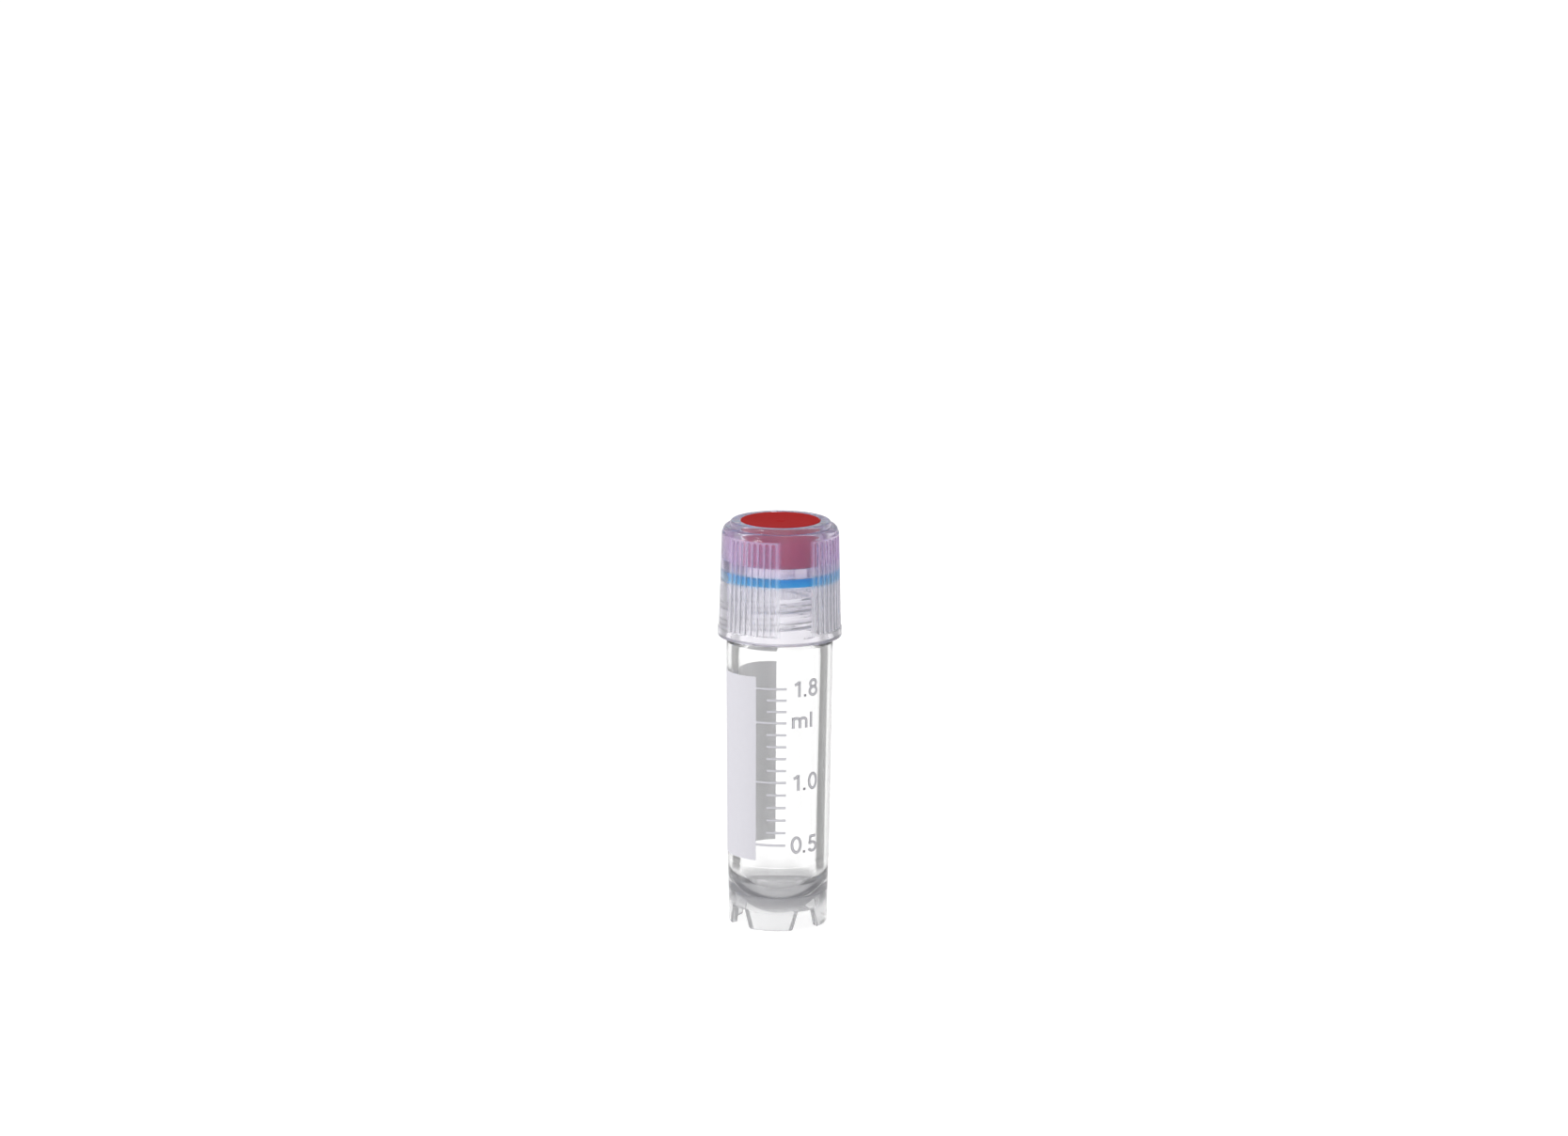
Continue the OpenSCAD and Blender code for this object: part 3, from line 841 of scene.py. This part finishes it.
# how much painted shade greys each of a stroke's six columns: rim, rim, core, core, rim, rim
figurePaintedShade = (1.0, 1.0, 0.0, 0.0, 1.0, 1.0)
markPaintedShade = (0.5, 0.5, 0.0, 0.0, 0.5, 0.5)
pointPaintedShade = (0.8,) * 6


def barrelRadius(z):
    # the barrel's outside is a cone from the skirt's line to the shoulder
    return np.interp(z, [tube["skirtHeight"], neckBase - tube["shoulderChamfer"]],
                     [tube["barrelLowRadius"], barrelTopRadius])


def inkSheet(z, azimuth, rim=None, loop=False, raised=0.0):
    # a thin closed sheet that lies on the barrel: a grid of heights and angles, its outside the
    # ink's thickness over its inside; as a loop, the last row joins the first one
    rows, cols = z.shape
    count = rows * cols
    onBarrel = barrelRadius(z)
    outer = placeRing(onBarrel + ink["thickness"] + raised, z, azimuth).reshape(-1, 3)
    inner = placeRing(onBarrel + ink["lift"], z, azimuth).reshape(-1, 3)
    at = np.arange(count).reshape(rows, cols)
    if loop:
        at = np.concatenate([at, at[:1]])
    front = np.stack([at[:-1, :-1], at[:-1, 1:], at[1:, 1:], at[1:, :-1]], -1).reshape(-1, 4)
    start = np.concatenate([at[:-1, -1], at[1:, 0]])
    after = np.concatenate([at[1:, -1], at[:-1, 0]])
    if not loop:
        start = np.concatenate([start, at[0, :-1], at[-1, 1:]])
        after = np.concatenate([after, at[0, 1:], at[-1, :-1]])
    sides = np.stack([after, start, start + count, after + count], -1)
    points = np.concatenate([outer, inner])
    quads = np.concatenate([front, front[:, ::-1] + count, sides])
    if signedVolume(points, quads, np.zeros((0, 3), int)) < 0:
        quads = quads[:, ::-1]
    rim = np.zeros((rows, cols)) if rim is None else np.broadcast_to(rim, (rows, cols))
    # each outer point's mark is its painted shade, and each inner point's -1 calls for painted
    # light
    return points, quads, np.concatenate([rim.ravel(), np.full(count, -1.0)])


def joinSheets(sheets):
    # one skin from many sheets, each one's corners counted on from those before it
    points, quads, shadingMarks, count = [], [], [], 0
    for sheetPoints, sheetQuads, rim in sheets:
        points.append(sheetPoints)
        quads.append(sheetQuads + count)
        shadingMarks.append(rim)
        count += len(sheetPoints)
    skin = np.concatenate(points), np.concatenate(quads), np.zeros((0, 3), int)
    return skin, np.concatenate(shadingMarks)


def inkStroke(path, width, shadingMarks, loop=False, raised=0.0):
    # a ribbon along a line of (arc length from the front, height) points in mm: each point steps
    # sideways along the line's normal to six columns: rim greyed by painted shade, white core, rim
    # greyed by painted shade
    if loop:
        along = np.roll(path, -1, 0) - np.roll(path, 1, 0)
    else:
        along = np.gradient(path, axis=0)
    sideways = np.stack([-along[:, 1], along[:, 0]], 1) / np.linalg.norm(along, axis=1)[:, None]
    core = 1.0 - 2.0 * ink["paintedEdgeShare"]
    half = np.array([core, 0.5 * (1.0 + core), 1.0])
    step = np.concatenate([-half[::-1], half]) * width / 2
    grid = path[:, None, :] + sideways[:, None, :] * step[None, :, None]
    azimuth = np.degrees(grid[..., 0] / barrelRadius(grid[..., 1]))
    return inkSheet(grid[..., 1], azimuth, np.array(shadingMarks), loop, raised)


def markStrokes():
    # a level line for each step of the scale, the long ones reaching the patch
    longMarks = ink["longMarks"]
    heights = np.interp(np.arange(ink["marks"]), list(longMarks), list(longMarks.values()))
    strokes = []
    for k, z in enumerate(heights):
        start = ink["markFromLong"] if k in longMarks else ink["markFromShort"]
        arc = np.radians([start, ink["markTo"]]) * barrelRadius(z)
        path = straight((arc[0], z), (arc[1], z), 18)
        strokes.append(inkStroke(path, ink["markWidth"], markPaintedShade))
    return strokes


def bend(centreU, centreV, ru, rv, fromDeg, toDeg, steps=16):
    # points on an ellipse from one angle to the other
    a = np.radians(np.linspace(fromDeg, toDeg, steps))
    return np.stack([centreU + ru * np.cos(a), centreV + rv * np.sin(a)], 1)


def oval(centreU, centreV, ru, rv):
    # a whole ellipse, a point every ten degrees
    return bend(centreU, centreV, ru, rv, 0.0, 350.0, 36)


def archStroke(middle, right):
    # one arch of the m, and its right leg down to the line
    return np.concatenate([bend(middle, 0.47, 0.20, 0.19, 175.0, 0.0),
                           straight((right, 0.42), (right, 0.0), 6)])


# each figure in units of its height: the room that it takes, and its strokes as (line, closed)
figures = {
    "1": (0.60, [(straight((0.33, 0.93), (0.33, 0.0), 8), False),
                 (np.array([(0.06, 0.72), (0.16, 0.75), (0.25, 0.81), (0.31, 0.90)]), False)]),
    ".": (0.30, [(straight((0.08, 0.0), (0.08, 0.15), 3), False)]),
    "8": (0.68, [(oval(0.31, 0.74, 0.20, 0.20), True), (oval(0.31, 0.30, 0.24, 0.235), True)]),
    "0": (0.68, [(oval(0.31, 0.50, 0.235, 0.435), True)]),
    "5": (0.68, [(straight((0.52, 0.93), (0.17, 0.93), 6), False),
                 (straight((0.18, 0.97), (0.11, 0.47), 6), False),
                 (bend(0.29, 0.32, 0.245, 0.255, 142.0, -155.0, 24), False)]),
    "m": (1.12, [(straight((0.07, 0.0), (0.07, 0.72), 6), False),
                 (archStroke(0.27, 0.47), False), (archStroke(0.67, 0.87), False)]),
    "l": (0.20, [(straight((0.07, 0.0), (0.07, 1.0), 8), False)]),
}


def wordStrokes():
    # each word's lines set side by side, then stretched so that it spans its two angles
    strokes = []
    for text, middle, startDeg, endDeg, height in ink["words"]:
        lines, room = [], 0.0
        for letter in text:
            width, parts = figures[letter]
            # the point is greyed all over by painted shade
            shadingMarks = pointPaintedShade if letter == "." else figurePaintedShade
            lines += [(line + (room, 0.0), loop, shadingMarks) for line, loop in parts]
            room += width
        edge = ink["strokeWidth"] / 2
        left = min(line[:, 0].min() for line, _, _ in lines)
        right = max(line[:, 0].max() for line, _, _ in lines)
        start, end = (np.radians(angle) * barrelRadius(middle) for angle in (startDeg, endDeg))
        wider = (end - start - 2 * edge) / (right - left)
        for k, (line, loop, shadingMarks) in enumerate(lines):
            up = middle + (line[:, 1] - 0.5) * height
            arc = start + edge + (line[:, 0] - left) * wider
            raised = ink["strokeLift"] * (k % 3)
            path = np.stack([arc, up], 1)
            strokes.append(inkStroke(path, ink["strokeWidth"], shadingMarks, loop, raised))
    return strokes


def patchSheet():
    # the patch's upper edge drops a little towards the back
    low, start, end = ink["patchLow"], ink["patchFrom"], ink["patchTo"]
    up, azimuth = np.meshgrid(np.linspace(0, 1, 12), np.linspace(start, end, 76), indexing="ij")
    top = np.interp(-azimuth, [-start, -end], [ink["patchTop"], ink["patchTopBehind"]])
    return inkSheet(low + up * (top - low), azimuth)


def addPrint(name, sheets):
    skin, rim = joinSheets(sheets)
    addPiece(name, skin, "vial", inkWhite, mark=("rim", rim))


addPrint("writingPatch", [patchSheet()])
addPrint("scaleMarks", markStrokes())
addPrint("scaleFigures", wordStrokes())


# the table, the bright room round it and the lamps
studio = {
    "tableHalf": 3.0,        # metres
    "tableDrop": 0.00002,    # under the feet
    "tableGlow": 0.84,       # what the camera, gloss and clear plastic see of the table
    "tableColour": 0.30,     # its own colour, which the lamps light
    "ambientSide": 1.15,     # the world's light from the horizon
    "ambientTop": 0.35,      # and from straight above
    "tableBounce": 0.50,     # what the table throws back at the vial
    "cornerLevel": 0.10,     # the dark corners' level, beside the white
    "cornerHalfWidth": 21.0,  # degrees from the middle of a dark corner to its side
    "cornerSoftness": 9.0,
    "cornerDepth": 4.5,      # clear surfaces that the light may cross and still show the corners
    "glossLevel": 0.6,       # level of the room that the outer faces mirror
    "plainTable": (0.012, 0.030),  # metres from the vial over which the corners come in
    "throughWalls": 0.95,    # extra share of the light that falls in through several clear faces
    "throughDepth": 2.5,     # several is a count over this one
}
none = 0.5                   # a count of what a ray has met is none under this


def surroundings(nodes, links, direction):
    # what a ray finds round the vial: "seen" is 1 for the camera, gloss and clear plastic and 0
    # for light that falls on a surface; "level" is 1 where white is seen, less in the four dark
    # corners between the views along the axes, which show only to light thrown about inside a
    # clear wall, and less for what outer faces mirror; "through" makes up for what several clear
    # walls hold back of the light that falls on a surface behind them
    calc = partial(mathNode, nodes, links)
    ray = nodes.new("ShaderNodeLightPath").outputs
    split = nodes.new("ShaderNodeSeparateXYZ")
    links.new(direction, split.inputs[0])
    around = calc("ARCTAN2", split.outputs["Y"], split.outputs["X"])
    away = calc("SUBTRACT", math.pi / 4, calc("PINGPONG", around, math.pi / 4))
    corner = nodes.new("ShaderNodeMapRange")
    corner.interpolation_type = "SMOOTHSTEP"
    half, soft = math.radians(studio["cornerHalfWidth"]), math.radians(studio["cornerSoftness"])
    corner.inputs["From Min"].default_value = half - soft / 2
    corner.inputs["From Max"].default_value = half + soft / 2
    corner.inputs["To Min"].default_value = 1.0 - studio["cornerLevel"]
    corner.inputs["To Max"].default_value = 0.0
    links.new(away, corner.inputs["Value"])
    crossed = ray["Transmission Depth"]
    thrown = calc("MINIMUM", ray["Glossy Depth"], 1.0)
    thrown = calc("MULTIPLY", thrown, ray["Is Transmission Ray"])
    inWall = calc("MULTIPLY", thrown, calc("LESS_THAN", crossed, studio["cornerDepth"]))
    mirrored = calc("MULTIPLY", ray["Is Glossy Ray"], calc("LESS_THAN", crossed, none))
    level = calc("SUBTRACT", 1.0, calc("MULTIPLY", inWall, corner.outputs[0]))
    level = calc("SUBTRACT", level, calc("MULTIPLY", mirrored, 1.0 - studio["glossLevel"]))
    seen = calc("MAXIMUM", ray["Is Camera Ray"], ray["Is Glossy Ray"])
    seen = calc("MAXIMUM", seen, ray["Is Transmission Ray"])
    seen = calc("MULTIPLY", seen, calc("LESS_THAN", ray["Diffuse Depth"], none))
    several = calc("GREATER_THAN", crossed, studio["throughDepth"])
    through = calc("ADD", 1.0, calc("MULTIPLY", several, studio["throughWalls"]))
    return seen, level, through


def tableMaterial():
    # the camera, gloss and clear plastic see plain white, with the vial's soft shadow on it
    material, nodes, links = newMaterial("tableWhite")
    calc = partial(mathNode, nodes, links)
    nodes.remove(nodes["Principled BSDF"])
    place = nodes.new("ShaderNodeTexCoord")
    seen, level, through = surroundings(nodes, links, place.outputs["Object"])
    glow = nodes.new("ShaderNodeEmission")
    base = nodes.new("ShaderNodeBsdfDiffuse")
    base.inputs["Color"].default_value = (*[studio["tableColour"]] * 3, 1.0)
    both = nodes.new("ShaderNodeAddShader")
    # the dark corners fade out close to the vial, so that its feet stand on plain white
    far = nodes.new("ShaderNodeVectorMath")
    far.operation = "LENGTH"
    links.new(place.outputs["Object"], far.inputs[0])
    fade = nodes.new("ShaderNodeMapRange")
    near, plain = studio["plainTable"]
    fade.inputs["From Min"].default_value = near
    fade.inputs["From Max"].default_value = plain
    links.new(far.outputs["Value"], fade.inputs["Value"])
    dark = calc("MULTIPLY", calc("SUBTRACT", 1.0, level), fade.outputs[0])
    level = calc("SUBTRACT", 1.0, dark)
    shown = calc("MULTIPLY", calc("MULTIPLY", seen, level), studio["tableGlow"])
    thrown = calc("MULTIPLY", calc("SUBTRACT", 1.0, seen), studio["tableBounce"])
    thrown = calc("MULTIPLY", thrown, through)
    links.new(calc("ADD", shown, thrown), glow.inputs["Strength"])
    links.new(glow.outputs[0], both.inputs[0])
    links.new(base.outputs[0], both.inputs[1])
    # seen from below it isn't there, so that the vial's underside can be looked at
    side = nodes.new("ShaderNodeNewGeometry")
    gap = nodes.new("ShaderNodeBsdfTransparent")
    choose = nodes.new("ShaderNodeMixShader")
    links.new(side.outputs["Backfacing"], choose.inputs["Fac"])
    links.new(both.outputs[0], choose.inputs[1])
    links.new(gap.outputs[0], choose.inputs[2])
    links.new(choose.outputs[0], nodes["Material Output"].inputs["Surface"])
    return material


def addTable():
    s = studio["tableHalf"]
    mesh = bpy.data.meshes.new("table")
    mesh.from_pydata([(-s, -s, 0), (s, -s, 0), (s, s, 0), (-s, s, 0)], [], [(0, 1, 2, 3)])
    mesh.materials.append(tableMaterial())
    table = bpy.data.objects.new("table", mesh)
    table.location.z = -studio["tableDrop"]
    bpy.context.scene.collection.objects.link(table)


def addWorld():
    # seen directly it is white, and the light that it throws fades from the horizon to the top
    world = bpy.data.worlds.new("studio")
    world.use_nodes = True
    bpy.context.scene.world = world
    nodes, links = world.node_tree.nodes, world.node_tree.links
    calc = partial(mathNode, nodes, links)
    back = nodes["Background"]
    back.inputs["Color"].default_value = (1, 1, 1, 1)
    place = nodes.new("ShaderNodeTexCoord")
    seen, level, through = surroundings(nodes, links, place.outputs["Generated"])
    up = nodes.new("ShaderNodeSeparateXYZ")
    links.new(place.outputs["Generated"], up.inputs[0])
    ambient = nodes.new("ShaderNodeMapRange")
    ambient.inputs["To Min"].default_value = studio["ambientSide"]
    ambient.inputs["To Max"].default_value = studio["ambientTop"]
    links.new(up.outputs["Z"], ambient.inputs["Value"])
    thrown = calc("MULTIPLY", calc("SUBTRACT", 1.0, seen), ambient.outputs[0])
    thrown = calc("MULTIPLY", thrown, through)
    shown = calc("MULTIPLY", seen, level)
    links.new(calc("ADD", shown, thrown), back.inputs["Strength"])


lamps = {
    # name: (azimuth from the front towards +X, elevation, distance, size, power)
    "keySoftbox": (-50.0, 34.0, 0.9, 0.20, 2.4),
    "leftSoftbox": (-112.0, 42.0, 0.9, 0.20, 1.2),
    "overSoftbox": (150.0, 60.0, 1.0, 0.40, 0.8),
}


def addLamps():
    middle = Vector((0, 0, 0.5 * (cadLow.z + cadHigh.z)))
    for name, (azimuth, elevation, distance, size, power) in lamps.items():
        lamp = bpy.data.lights.new(name, "AREA")
        lamp.shape, lamp.size, lamp.energy = "SQUARE", size, power
        holder = bpy.data.objects.new(name, lamp)
        a, e = math.radians(azimuth), math.radians(elevation)
        way = Vector((math.sin(a) * math.cos(e), -math.cos(a) * math.cos(e), math.sin(e)))
        holder.location = middle + way * distance
        holder.rotation_euler = way.to_track_quat("Z", "Y").to_euler()
        bpy.context.scene.collection.objects.link(holder)


addTable()
addWorld()
addLamps()
bpy.context.scene.view_settings.view_transform = "Standard"
# light crosses up to eight walls and is thrown about in them
bpy.context.scene.cycles.max_bounces = 32
bpy.context.scene.cycles.transmission_bounces = 32
bpy.context.scene.cycles.glossy_bounces = 16
print("stage and light ready")
